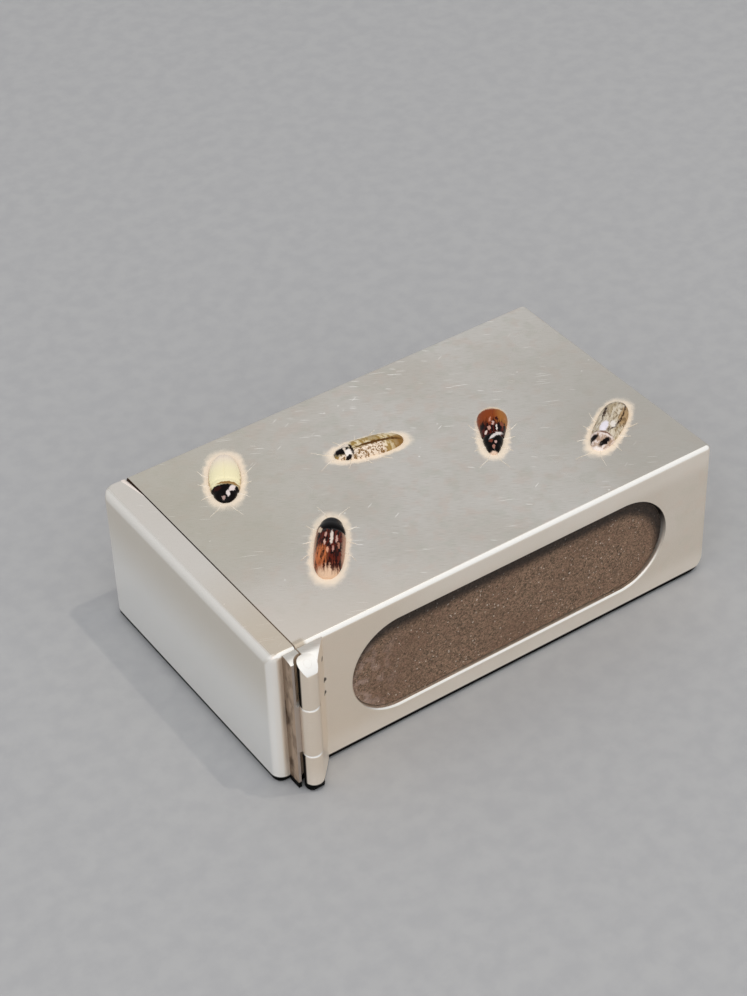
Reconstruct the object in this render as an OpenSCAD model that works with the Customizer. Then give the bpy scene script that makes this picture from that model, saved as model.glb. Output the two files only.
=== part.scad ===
// Vesta case: a flat sheet-silver box for matches with a hinged lid at one end,
// a striking surface in a long window in its side, and five enamelled insects on top.
// Origin at the middle of the base. +X runs to the closed end, the lid is at -X,
// the window and the hinge are on the -Y side, and +Z is up.

/* [Case] */
// Length of the closed case, lid included
case_l = 62.7; // [58:0.1:72]
// Width of the case along the lid's seam
case_w = 36.8; // [34:0.1:44]
// Height of the case from its base to its decorated face
case_h = 19.4; // [17.5:0.1:24]
// Thickness of the sheet silver
sheet = 0.8; // [0.7:0.05:1]
// Radius of the four long edges
long_edge_r = 0.5; // [0.3:0.05:0.7]
// Radius of the upright corners at the closed end
end_corner_r = 0.8; // [0.6:0.05:1.5]
// Radius of the closed end's upper edge
end_top_r = 0.5; // [0.4:0.05:1.5]
// Radius of the closed end's lower edge
end_foot_r = 1.5; // [0.4:0.05:1.6]
// Radius of the folds inside the sleeve and the lid
inside_r = 0.3; // [0.2:0.05:0.5]

/* [Lid] */
// Depth of the lid from its end face to the seam
lid_depth = 3.5; // [3.2:0.1:5]
// Radius of the lid's upright corners
lid_corner_r = 1.4; // [0.6:0.05:1.5]
// Radius of the lid's upper end edge
lid_top_r = 1.4; // [0.4:0.05:1.5]
// Radius of the lid's lower end edge
lid_foot_r = 1; // [0.4:0.05:1.5]
// Gap at the seam between the lid and the sleeve
seam_gap = 0.14; // [0.08:0.01:0.2]
// Length of the nail nick along the lid's rim, up to the far corner
nick_l = 4.7; // [2:0.1:8]
// Breadth of the nick on the lid's top at the far corner
nick_w = 0.9; // [0.4:0.05:1.2]
// Depth of the nick in the lid's rim at the far corner
nick_depth = 0.6; // [0.2:0.05:0.6]

/* [Bezel] */
// Thickness of the inner collar
bezel_t = 0.4; // [0.3:0.05:0.6]
// Length of the collar soldered inside the sleeve
bezel_seat = 2.8; // [2:0.1:5]
// Length of the collar that stands into the lid
bezel_reach = 1.2; // [0.6:0.1:1.6]
// Gap between the collar and the lid
bezel_clear = 0.12; // [0.08:0.01:0.2]

/* [Window and striker] */
// Length of the window over its round ends
window_l = 45.2; // [36:0.2:48]
// Height of the window
window_h = 13; // [9:0.1:14]
// Distance of the window's middle from the sleeve's middle, towards the closed end
window_shift = 0.2; // [-1:0.1:1]
// Thickness of the board behind the window
board_t = 0.8; // [0.5:0.1:1.5]
// Gap round the board's edges
board_clear = 0.1; // [0.05:0.05:0.3]
// Thickness of the striking grit
grit_t = 0.25; // [0.1:0.05:0.5]
// Gap between the grit and the window's rim
grit_clear = 0.1; // [0.05:0.05:0.3]

/* [Hinge] */
// Diameter of the hinge barrel
barrel_d = 2.3; // [1.9:0.1:2.8]
// Distance of the pin's axis from the side of the case
hinge_out = 2.2; // [1.9:0.1:2.6]
// Diameter of the pin
pin_d = 0.9; // [0.6:0.05:1.1]
// Radial gap between the pin and the knuckles
pin_clear = 0.04; // [0.02:0.01:0.08]
// Length of the lower fixed knuckle
lower_knuckle_l = 5.3; // [3.5:0.1:6]
// Length of the lid's knuckle
lid_knuckle_l = 7.0; // [5:0.1:8]
// Gap between neighbouring knuckles
knuckle_gap = 0.08; // [0.04:0.01:0.15]
// Distance of the barrel's ends from the top and the base of the case
barrel_end = 0.2; // [0.1:0.05:1]
// Radius that the barrel's top is filed to
barrel_top_r = 2.5; // [0.5:0.1:2.8]
// Radius that the barrel's foot is filed to
barrel_foot_r = 0.5; // [0.3:0.1:1.5]
// Reach of the solder wedge along the side of the sleeve
bearer_l = 3.4; // [2.8:0.1:5]
// Where the wedge meets the barrel, in degrees out from the pin
bearer_angle = 15; // [5:1:25]
// Reach of the lid's leaf out from the lid's side
leaf_out = 1.8; // [1.4:0.1:2]
// Thickness of the leaf where it passes the fixed knuckles
leaf_t = 0.35; // [0.25:0.05:0.45]
// Gap between the leaf and the fixed knuckles
slot_gap = 0.35; // [0.15:0.05:0.4]
// Gap between the lid's knuckle and the wedge
knuckle_clear = 0.2; // [0.1:0.05:0.3]
// Film of solder between a knuckle and what carries it
solder = 0.01; // [0.01:0.01:0.03]

/* [Cream beetle] */
// Distance of its middle from the seam
cream_from_seam = 8.8; // [6:0.1:12]
// Distance of its middle from the far side
cream_from_far_side = 7.6; // [6.5:0.1:10.5]
// Direction of its head
cream_heading = -120; // [-180:1:180]
// Length of the insect
cream_l = 9.2; // [7:0.1:10]
// Width of the insect
cream_w = 3.9; // [3:0.1:4.6]
// Height above the case
cream_h = 1.4; // [0.8:0.05:2]

/* [Red beetle] */
// Distance of its middle from the seam
red_from_seam = 12.2; // [9:0.1:14]
// Distance of its middle from the hinged side
red_from_hinged_side = 11.3; // [8.5:0.1:13.5]
// Direction of its head
red_heading = 47; // [-180:1:180]
// Length of the insect
red_l = 10.5; // [8:0.1:11.5]
// Width of the insect
red_w = 3.6; // [3:0.1:4.6]
// Height above the case
red_h = 1.4; // [0.8:0.05:2]

/* [Slim fly] */
// Distance of its middle from the seam
slim_from_seam = 26.1; // [22:0.1:28]
// Distance of its middle from the case's centre line
slim_y = 5.6; // [3:0.1:8]
// Direction of its head
slim_heading = 167; // [-180:1:180]
// Length of the insect
slim_l = 8.9; // [7:0.1:10]
// Width of the insect
slim_w = 3.2; // [2.4:0.1:4]
// Height above the case
slim_h = 1.2; // [0.8:0.05:2]

/* [Dark beetle] */
// Distance of its middle from the closed end
dark_from_end = 19.6; // [17:0.1:22]
// Distance of its middle from the case's centre line
dark_y = -1.1; // [-3:0.1:2]
// Direction of its head
dark_heading = -125; // [-180:1:180]
// Length of the insect
dark_l = 8.2; // [7:0.1:10]
// Width of the insect at its broad tail
dark_w = 3.2; // [2.6:0.1:4]
// Height above the case
dark_h = 1.4; // [0.8:0.05:2]

/* [Pale bug] */
// Distance of its middle from the closed end
pale_from_end = 7.7; // [6.5:0.1:9]
// Distance of its middle from the hinged side
pale_from_hinged_side = 10; // [8.5:0.1:12.5]
// Direction of its head
pale_heading = -146; // [-180:1:180]
// Length of the insect
pale_l = 9.7; // [8:0.1:10]
// Width of the insect
pale_w = 3.4; // [2.6:0.1:4]
// Height above the case
pale_h = 1.3; // [0.8:0.05:2]

/* [Hidden] */
$fn = 64;

silver = "#b9b2a6";
board_brown = "#6b5d50";
grit_brown = "#54483f";

// Room by which cutting shapes pass the faces that they cut
over = 1;
seam_x = lid_depth - case_l / 2;
end_x = case_l / 2;
mouth_x = seam_x + seam_gap / 2;
rim_x = seam_x - seam_gap / 2;
side_y = -case_w / 2;
inner_w = case_w - 2 * sheet;
inner_h = case_h - 2 * sheet;
window_x = (seam_x + end_x) / 2 + window_shift;
board_x0 = seam_x + bezel_seat + board_clear;
board_x1 = end_x - sheet - board_clear;
hinge_y = side_y - hinge_out;
barrel_r = barrel_d / 2;
barrel_top = case_h - barrel_end;
lid_knuckle_z = barrel_end + lower_knuckle_l + knuckle_gap;
upper_knuckle_z = lid_knuckle_z + lid_knuckle_l + knuckle_gap;
bore_d = pin_d + 2 * pin_clear;

// Rectangle with round corners, centred
module rounded_rect(a, b, r) {
    square([a - 2 * r, b], center = true);
    square([a, b - 2 * r], center = true);
    for (i = [-1, 1], j = [-1, 1])
        translate([i * (a / 2 - r), j * (b / 2 - r)]) circle(r);
}

// Rectangle with a radius of its own at each corner, anticlockwise from the lower left one, centred
module cornered_rect(a, b, radii) {
    corners = [[-a, -b], [a, -b], [a, b], [-a, b]] / 2;
    inward = [[1, 1], [-1, 1], [-1, -1], [1, -1]];
    difference() {
        square([a, b], center = true);
        for (i = [0:3]) translate(corners[i]) square(2 * radii[i], center = true);
    }
    for (i = [0:3]) translate(corners[i] + radii[i] * inward[i]) circle(radii[i]);
}

// Bar along X with a rounded section, from x0 to x1, at mid height of the case
module bar_x(x0, x1, a, b, r) {
    translate([x0, 0, case_h / 2]) rotate([90, 0, 90])
        linear_extrude(x1 - x0) rounded_rect(a, b, r);
}

// Outside of the closed case
module outside() {
    intersection() {
        bar_x(-end_x - over, end_x + over, case_w, case_h, long_edge_r);
        translate([0, 0, -over]) linear_extrude(case_h + 2 * over)
            cornered_rect(case_l, case_w, [lid_corner_r, end_corner_r, end_corner_r, lid_corner_r]);
        translate([0, case_w / 2 + over, case_h / 2]) rotate([90, 0, 0])
            linear_extrude(case_w + 2 * over)
                cornered_rect(case_l, case_h, [lid_foot_r, end_foot_r, end_top_r, lid_top_r]);
    }
}

// Everything between two planes across the case
module slice(x0, x1) {
    translate([x0, -case_w, -over]) cube([x1 - x0, 2 * case_w, case_h + 2 * over]);
}

// Window outline pushed through the side, from y0 inwards
module window_bar(y0, depth, l, h) {
    translate([window_x, y0 + depth, case_h / 2]) rotate([90, 0, 0])
        linear_extrude(depth) {
            square([l - h, h], center = true);
            for (i = [-1, 1]) translate([i * (l - h) / 2, 0]) circle(h / 2);
        }
}

module case_sleeve() {
    color(silver) difference() {
        intersection() {
            outside();
            slice(mouth_x, end_x - sheet);
        }
        bar_x(seam_x - over, end_x + over, inner_w, inner_h, inside_r);
        window_bar(side_y - over, sheet + 2 * over, window_l, window_h);
    }
}

module case_end() {
    color(silver) intersection() {
        outside();
        slice(end_x - sheet, end_x + over);
    }
}

module mouth_bezel() {
    color(silver) difference() {
        bar_x(seam_x - bezel_reach, seam_x + bezel_seat, inner_w, inner_h, inside_r);
        bar_x(seam_x - bezel_reach - over, seam_x + bezel_seat + over,
            inner_w - 2 * bezel_t, inner_h - 2 * bezel_t, inside_r);
    }
}

module striker_board() {
    color(board_brown)
        translate([board_x0, side_y + sheet, sheet + board_clear])
            cube([board_x1 - board_x0, board_t, inner_h - 2 * board_clear]);
}

module striker_grit() {
    color(grit_brown)
        window_bar(side_y + sheet - grit_t, grit_t, window_l - 2 * grit_clear, window_h - 2 * grit_clear);
}

// Side view of the barrel and its two leaves, filed round at the top and the foot
module hinge_side_view() {
    out_y = hinge_y - barrel_r;
    difference() {
        translate([out_y, barrel_end]) square([side_y - out_y, barrel_top - barrel_end]);
        difference() {
            translate([out_y - over, barrel_top - barrel_top_r]) square(barrel_top_r + over);
            translate([out_y + barrel_top_r, barrel_top - barrel_top_r]) circle(barrel_top_r);
        }
        difference() {
            translate([out_y - over, barrel_end - over])
                square(barrel_foot_r + over);
            translate([out_y + barrel_foot_r, barrel_end + barrel_foot_r]) circle(barrel_foot_r);
        }
    }
}

module hinge_space() {
    half = lid_depth + bearer_l;
    translate([seam_x - half, 0, 0]) rotate([90, 0, 90]) linear_extrude(2 * half) hinge_side_view();
}

// Upright rod on the pin's axis
module on_axis(z0, z1, d) {
    translate([seam_x, hinge_y, z0]) cylinder(h = z1 - z0, d = d);
}

// One knuckle: a length of tube on the pin
module knuckle(z0, z1) {
    difference() {
        intersection() {
            on_axis(z0, z1, barrel_d);
            hinge_space();
        }
        on_axis(z0 - over, z1 + over, bore_d);
    }
}

module upper_knuckle() {
    color(silver) knuckle(upper_knuckle_z, barrel_top);
}

module lower_knuckle() {
    color(silver) knuckle(barrel_end, lid_knuckle_z - knuckle_gap);
}

module lid_knuckle() {
    color(silver) knuckle(lid_knuckle_z, upper_knuckle_z - knuckle_gap);
}

module hinge_pin() {
    color(silver) intersection() {
        on_axis(barrel_end, barrel_top, pin_d);
        hinge_space();
    }
}

module hinge_bearer() {
    meet = [seam_x + barrel_r * cos(bearer_angle), hinge_y - barrel_r * sin(bearer_angle)];
    color(silver) difference() {
        intersection() {
            linear_extrude(case_h) polygon([
                [mouth_x, side_y], [seam_x + bearer_l, side_y], meet, [mouth_x, hinge_y]]);
            hinge_space();
        }
        on_axis(-over, case_h + over, barrel_d + 2 * solder);
        on_axis(lid_knuckle_z - knuckle_gap, upper_knuckle_z, barrel_d + 2 * knuckle_clear);
    }
}

module lid_leaf() {
    x0 = seam_x - barrel_r - slot_gap - leaf_t;
    color(silver) difference() {
        intersection() {
            translate([x0, side_y - leaf_out, 0]) cube([rim_x - x0, leaf_out, case_h]);
            hinge_space();
        }
        on_axis(-over, case_h + over, barrel_d + 2 * solder);
        on_axis(-over, lid_knuckle_z, barrel_d + 2 * slot_gap);
        on_axis(upper_knuckle_z - knuckle_gap, case_h + over, barrel_d + 2 * slot_gap);
    }
}

module lid_cap() {
    hollow_w = inner_w + 2 * bezel_clear;
    hollow_h = inner_h + 2 * bezel_clear;
    // Direction that the filed face of the nick looks in
    nick_face = [1 / nick_w, 1 / nick_l, 1 / nick_depth];
    color(silver) difference() {
        intersection() {
            outside();
            slice(-end_x - over, rim_x);
        }
        bar_x(sheet - end_x, seam_x + over, hollow_w, hollow_h, inside_r);
        translate([rim_x, case_w / 2 - nick_l, case_h])
            rotate([-asin(nick_face.y / norm(nick_face)), atan2(nick_face.x, nick_face.z), 0])
                translate([-nick_l, -over, 0]) cube([2 * nick_l, nick_l + 3 * over, over]);
    }
}

// Insects: a domed oval body from tail (u = -1) to head (u = 1), cut across at u0 and u1
insect_rings = 10;
insect_sides = 12;
// Share of the half length at which a rounded tip is closed
tip = 0.985;

// Breadth along the body as a share of its full width: bluntness rounds the ends,
// taper narrows the head and widens the tail
function breadth(u, bluntness, taper) = sqrt(1 - pow(abs(u), bluntness)) * (1 - taper * u);

function body_points(l, w, h, bluntness, taper, u0, u1) = [
    for (i = [0:insect_rings])
        let (u = u0 + (u1 - u0) * (1 - cos(180 * i / insect_rings)) / 2,
             b = breadth(u, bluntness, taper))
        for (j = [0:insect_sides])
            let (a = 180 * j / insect_sides)
            [l / 2 * u, w / 2 * b * cos(a), h * b * sin(a)]];

row = insect_sides + 1;
body_faces = concat(
    [for (i = [0:insect_rings - 1], j = [0:insect_sides - 1])
        [i * row + j, (i + 1) * row + j, (i + 1) * row + j + 1]],
    [for (i = [0:insect_rings - 1], j = [0:insect_sides - 1])
        [i * row + j, (i + 1) * row + j + 1, i * row + j + 1]],
    [for (i = [0:insect_rings - 1]) [i * row, (i + 1) * row - 1, (i + 2) * row - 1]],
    [for (i = [0:insect_rings - 1]) [i * row, (i + 2) * row - 1, (i + 1) * row]],
    [for (j = [1:insect_sides - 1]) [0, j, j + 1]],
    [for (j = [1:insect_sides - 1])
        [insect_rings * row, insect_rings * row + j + 1, insect_rings * row + j]]);

module insect_body(l, w, h, bluntness, taper, u0, u1) {
    polyhedron(body_points(l, w, h, bluntness, taper, u0, u1), body_faces, convexity = 2);
}

module on_top(x, y, heading) {
    translate([x, y, case_h]) rotate(heading) children();
}

// Where each insect's neck falls along its body, and the shape of its outline
cream_neck = 0.3;
cream_blunt = 2.4;
cream_taper = 0;
red_neck = 0.42;
red_blunt = 3.6;
red_taper = 0;
slim_neck = 0.5;
slim_blunt = 2.6;
slim_taper = 0.02;
dark_neck = 0.28;
dark_blunt = 5;
dark_taper = 0.42;
pale_neck = 0.42;
pale_blunt = 3;
pale_taper = 0.12;

module cream_beetle(u0, u1) {
    on_top(seam_x + cream_from_seam, -side_y - cream_from_far_side, cream_heading)
        insect_body(cream_l, cream_w, cream_h, cream_blunt, cream_taper, u0, u1);
}

module red_beetle(u0, u1) {
    on_top(seam_x + red_from_seam, side_y + red_from_hinged_side, red_heading)
        insect_body(red_l, red_w, red_h, red_blunt, red_taper, u0, u1);
}

module slim_fly(u0, u1) {
    on_top(seam_x + slim_from_seam, slim_y, slim_heading)
        insect_body(slim_l, slim_w, slim_h, slim_blunt, slim_taper, u0, u1);
}

module dark_beetle(u0, u1) {
    on_top(end_x - dark_from_end, dark_y, dark_heading)
        insect_body(dark_l, dark_w, dark_h, dark_blunt, dark_taper, u0, u1);
}

module pale_bug(u0, u1) {
    on_top(end_x - pale_from_end, side_y + pale_from_hinged_side, pale_heading)
        insect_body(pale_l, pale_w, pale_h, pale_blunt, pale_taper, u0, u1);
}

module cream_beetle_wing_cases() {
    color("#f3e6b8") cream_beetle(-tip, cream_neck);
}

module cream_beetle_head() {
    color("#1d1210") cream_beetle(cream_neck, tip);
}

module red_beetle_wing_cases() {
    color("#7a2f1c") red_beetle(-tip, red_neck);
}

module red_beetle_head() {
    color("#120c0b") red_beetle(red_neck, tip);
}

module slim_fly_wings() {
    color("#b08a4e") slim_fly(-tip, slim_neck);
}

module slim_fly_head() {
    color("#241512") slim_fly(slim_neck, tip);
}

module dark_beetle_wing_cases() {
    color("#5a2416") dark_beetle(-tip, dark_neck);
}

module dark_beetle_head() {
    color("#150d0c") dark_beetle(dark_neck, tip);
}

module pale_bug_wings() {
    color("#b9a890") pale_bug(-tip, pale_neck);
}

module pale_bug_head() {
    color("#d9c6bb") pale_bug(pale_neck, tip);
}

case_sleeve();
case_end();
mouth_bezel();
striker_board();
striker_grit();
hinge_bearer();
upper_knuckle();
lower_knuckle();
hinge_pin();
lid_cap();
lid_leaf();
lid_knuckle();
cream_beetle_wing_cases();
cream_beetle_head();
red_beetle_wing_cases();
red_beetle_head();
slim_fly_wings();
slim_fly_head();
dark_beetle_wing_cases();
dark_beetle_head();
pale_bug_wings();
pale_bug_head();
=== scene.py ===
import math

import bmesh
import bpy
from mathutils import Euler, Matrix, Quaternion, Vector


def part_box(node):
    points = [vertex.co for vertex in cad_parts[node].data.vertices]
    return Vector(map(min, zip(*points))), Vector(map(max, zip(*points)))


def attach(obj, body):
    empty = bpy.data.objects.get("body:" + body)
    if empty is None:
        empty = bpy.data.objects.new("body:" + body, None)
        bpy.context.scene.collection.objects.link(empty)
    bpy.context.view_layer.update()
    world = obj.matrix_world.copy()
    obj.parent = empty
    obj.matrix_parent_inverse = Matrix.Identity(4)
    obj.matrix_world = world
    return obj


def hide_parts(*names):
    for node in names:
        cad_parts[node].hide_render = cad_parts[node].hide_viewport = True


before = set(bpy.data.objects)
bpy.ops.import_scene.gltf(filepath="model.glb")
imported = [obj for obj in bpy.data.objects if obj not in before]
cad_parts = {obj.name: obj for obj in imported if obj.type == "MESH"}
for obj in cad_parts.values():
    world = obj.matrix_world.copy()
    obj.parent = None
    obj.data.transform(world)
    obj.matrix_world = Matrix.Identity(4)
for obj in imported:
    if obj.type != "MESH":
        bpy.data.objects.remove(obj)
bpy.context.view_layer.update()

# The walls of the box: a sleeve of silver sheet, its end plate and the lid. Such a box is soldered up shut,
# filed round at its edges and then sawn apart, so all three are cut here from one rounded block.
MM = 0.001
NEAR = 0.002 * MM
sheet = 0.8 * MM
edge_r = 0.65 * MM
lid_corner_r = 1.4 * MM
lid_top_r = 1.4 * MM
end_foot_r = 2.2 * MM
edge_steps = 10
case_lo, lid_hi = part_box("lid_cap")
sleeve_lo, sleeve_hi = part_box("case_sleeve")
case_hi = Vector((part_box("case_end")[1].x, sleeve_hi.y, sleeve_hi.z))
middle = (case_lo + case_hi) / 2
rim_x = lid_hi.x
mouth_x = sleeve_lo.x
seam_x = (mouth_x + rim_x) / 2
end_joint_x = sleeve_hi.x


def clear_bench():
    """Leaves edit mode and selects nothing."""
    if bpy.context.mode != "OBJECT":
        bpy.ops.object.mode_set(mode="OBJECT")
    bpy.ops.object.select_all(action="DESELECT")


def alone(piece):
    """Selects one piece and nothing else."""
    clear_bench()
    piece.select_set(True)
    bpy.context.view_layer.objects.active = piece


def pick(piece, kind, test):
    """Opens a piece for editing, with only those vertices, edges or faces selected that pass a test."""
    alone(piece)
    bpy.ops.object.mode_set(mode="EDIT")
    bpy.ops.mesh.select_mode(type=kind)
    bpy.ops.mesh.select_all(action="DESELECT")
    mesh = bmesh.from_edit_mesh(piece.data)
    for part in {"VERT": mesh.verts, "EDGE": mesh.edges, "FACE": mesh.faces}[kind]:
        if test(part):
            part.select_set(True)
    mesh.select_flush_mode()
    bmesh.update_edit_mesh(piece.data)


def flat_on(axis, value):
    """A test for edges and faces that lie in one plane across an axis."""
    return lambda part: all(abs(corner.co[axis] - value) < NEAR for corner in part.verts)


def settle(piece, name):
    """Names a new piece, and puts its place, turn and size into its mesh."""
    alone(piece)
    bpy.ops.object.transform_apply(location=True, rotation=True, scale=True)
    piece.name = name
    piece.data.name = name
    return piece


def block(name, lo, hi):
    """A plain block between two corners, to be shaped further."""
    clear_bench()
    bpy.ops.mesh.primitive_cube_add(size=1, location=(lo + hi) / 2, scale=hi - lo)
    return settle(bpy.context.object, name)


def modify(piece, kind, **settings):
    """Adds a modifier, sets it and applies it."""
    alone(piece)
    bpy.ops.object.modifier_add(type=kind)
    modifier = piece.modifiers[-1]
    for setting, value in settings.items():
        setattr(modifier, setting, value)
    bpy.ops.object.modifier_apply(modifier=modifier.name)


def copy_of(piece, name):
    """A second piece with its own mesh."""
    alone(piece)
    bpy.ops.object.duplicate()
    return settle(bpy.context.object, name)


def carve(piece, tool, operation="DIFFERENCE"):
    """Cuts a piece with a tool body, which is used up."""
    clear_bench()
    modify(piece, "BOOLEAN", operation=operation, solver="EXACT", object=tool)
    bpy.data.objects.remove(tool)


def cut_across(piece, x, keep):
    """Saws a piece across at x and keeps what lies beyond it (keep is 1) or before it (keep is -1)."""
    pick(piece, "FACE", lambda face: True)
    bpy.ops.mesh.bisect(
        plane_co=(x, 0, 0), plane_no=(keep, 0, 0), clear_inner=True, use_fill=False, threshold=NEAR / 10)


def line_with_wall(piece, x_rim, x_inside, size, wall):
    """Turns the open rim at x_rim in by a wall's thickness and runs it on to x_inside as the inner face."""
    pick(piece, "EDGE", flat_on(0, x_rim))
    bpy.ops.mesh.extrude_region_move(TRANSFORM_OT_translate={"value": (0, 0, 0)})
    bpy.ops.transform.resize(value=(1, 1 - 2 * wall / size.y, 1 - 2 * wall / size.z), center_override=middle)
    bpy.ops.mesh.extrude_region_move(TRANSFORM_OT_translate={"value": (x_inside - x_rim, 0, 0)})


def soften(piece, width, test, segments=3):
    """Rounds the edges that pass a test, as polishing does."""
    pick(piece, "EDGE", test)
    bpy.ops.mesh.bevel(offset=width, segments=segments, profile=0.5, affect="EDGES", clamp_overlap=True)


def polish(piece, angle=35):
    """Smooth shading between faces that turn gently, with flat faces kept truly flat."""
    pick(piece, "FACE", lambda face: True)
    bpy.ops.mesh.normals_make_consistent(inside=False)
    alone(piece)
    bpy.ops.object.shade_smooth_by_angle(angle=math.radians(angle))
    modify(piece, "WEIGHTED_NORMAL", keep_sharp=True)


def filed_round(edge):
    """How round the file left one edge of the closed box. The closed end's foot is round already."""
    start, end = (corner.co for corner in edge.verts)
    run = end - start
    at = (start + end) / 2 - middle
    if abs(run.y) > NEAR and at.z < 0 < at.x:
        return 0
    if abs(run.y) > NEAR and at.x < 0 < at.z:
        return lid_top_r
    upright = abs(run.x) < NEAR < abs(run.z)
    return lid_corner_r if upright and at.x < 0 else edge_r


closed_box = block("closed_box", case_lo, case_hi)
soften(closed_box, end_foot_r,
       lambda edge: flat_on(0, case_hi.x)(edge) and flat_on(2, case_lo.z)(edge), edge_steps)
rounds = {edge_r, lid_corner_r, lid_top_r}
for radius in sorted(rounds):
    pick(closed_box, "EDGE", lambda edge: filed_round(edge) == radius)
    bpy.ops.transform.edge_bevelweight(value=radius / max(rounds))
modify(closed_box, "BEVEL", width=max(rounds), segments=edge_steps, limit_method="WEIGHT",
       use_clamp_overlap=False)

case_size = case_hi - case_lo
sleeve = copy_of(closed_box, "silver_sleeve")
cut_across(sleeve, mouth_x, 1)
cut_across(sleeve, end_joint_x, -1)
line_with_wall(sleeve, mouth_x, end_joint_x, case_size, sheet)
pick(sleeve, "EDGE", lambda edge: edge.is_boundary)
bpy.ops.mesh.bridge_edge_loops()

# the window, with round ends, pierced through the hinged side and its edge taken off
grit_lo, grit_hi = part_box("striker_grit")
grit_clear = 0.1 * MM
window_round = 64
window_ease = 0.33 * MM
mouth_ease = 0.07 * MM
window_lo = grit_lo - Vector((grit_clear, sheet, grit_clear))
window_hi = grit_hi + Vector((grit_clear, sheet, grit_clear))


def round_ended_bar(name, lo, hi):
    """A bar along Y with a round-ended outline: a cylinder whose halves are drawn apart."""
    size = hi - lo
    clear_bench()
    bpy.ops.mesh.primitive_cylinder_add(
        vertices=window_round, radius=size.z / 2, depth=size.y, location=(lo + hi) / 2,
        rotation=(math.pi / 2, math.pi / window_round, 0))
    bar = settle(bpy.context.object, name)
    centre = (lo.x + hi.x) / 2
    for side in (-1, 1):
        pick(bar, "VERT", lambda corner: (corner.co.x - centre) * side > 0)
        bpy.ops.transform.translate(value=(side * (size.x - size.z) / 2, 0, 0))
    return bar


carve(sleeve, round_ended_bar("window_cutter", window_lo, window_hi))


def on_window_rim(edge):
    """Edges where the window meets the outer face of the side."""
    in_window = all(window_lo.x - NEAR < corner.co.x < window_hi.x + NEAR for corner in edge.verts)
    return in_window and flat_on(1, case_lo.y)(edge) and edge.calc_face_angle() > 1


soften(sleeve, window_ease, on_window_rim, 5)
soften(sleeve, mouth_ease, lambda edge: flat_on(0, mouth_x)(edge) and edge.calc_face_angle() > 1)
polish(sleeve)

end_plate = copy_of(closed_box, "silver_end_plate")
cut_across(end_plate, end_joint_x, 1)
pick(end_plate, "EDGE", lambda edge: edge.is_boundary)
bpy.ops.mesh.edge_face_add()
polish(end_plate)

bezel_clear = 0.12 * MM
lid = copy_of(closed_box, "silver_lid")
cut_across(lid, rim_x, -1)
line_with_wall(lid, rim_x, case_lo.x + sheet, case_size, sheet - bezel_clear)
bpy.ops.mesh.edge_face_add()
clear_bench()
bpy.data.objects.remove(closed_box)

# the thumbnail nick: a bevel filed off the lid's rim, which runs out at the free corner
nick_l = 4.7 * MM
nick_w = 0.9 * MM
nick_depth = 0.42 * MM
rim_ease = 0.06 * MM
nick_start = Vector((rim_x, case_hi.y - nick_l, case_hi.z))
nick_slope = Vector((1 / nick_w, 1 / nick_l, 1 / nick_depth)).normalized()
pick(lid, "FACE", lambda face: True)
bpy.ops.mesh.bisect(plane_co=nick_start, plane_no=nick_slope, clear_outer=True, use_fill=True,
                    threshold=NEAR / 10)
soften(lid, rim_ease, lambda edge: flat_on(0, rim_x)(edge) and edge.calc_face_angle() > 1, 2)
polish(lid)


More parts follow.
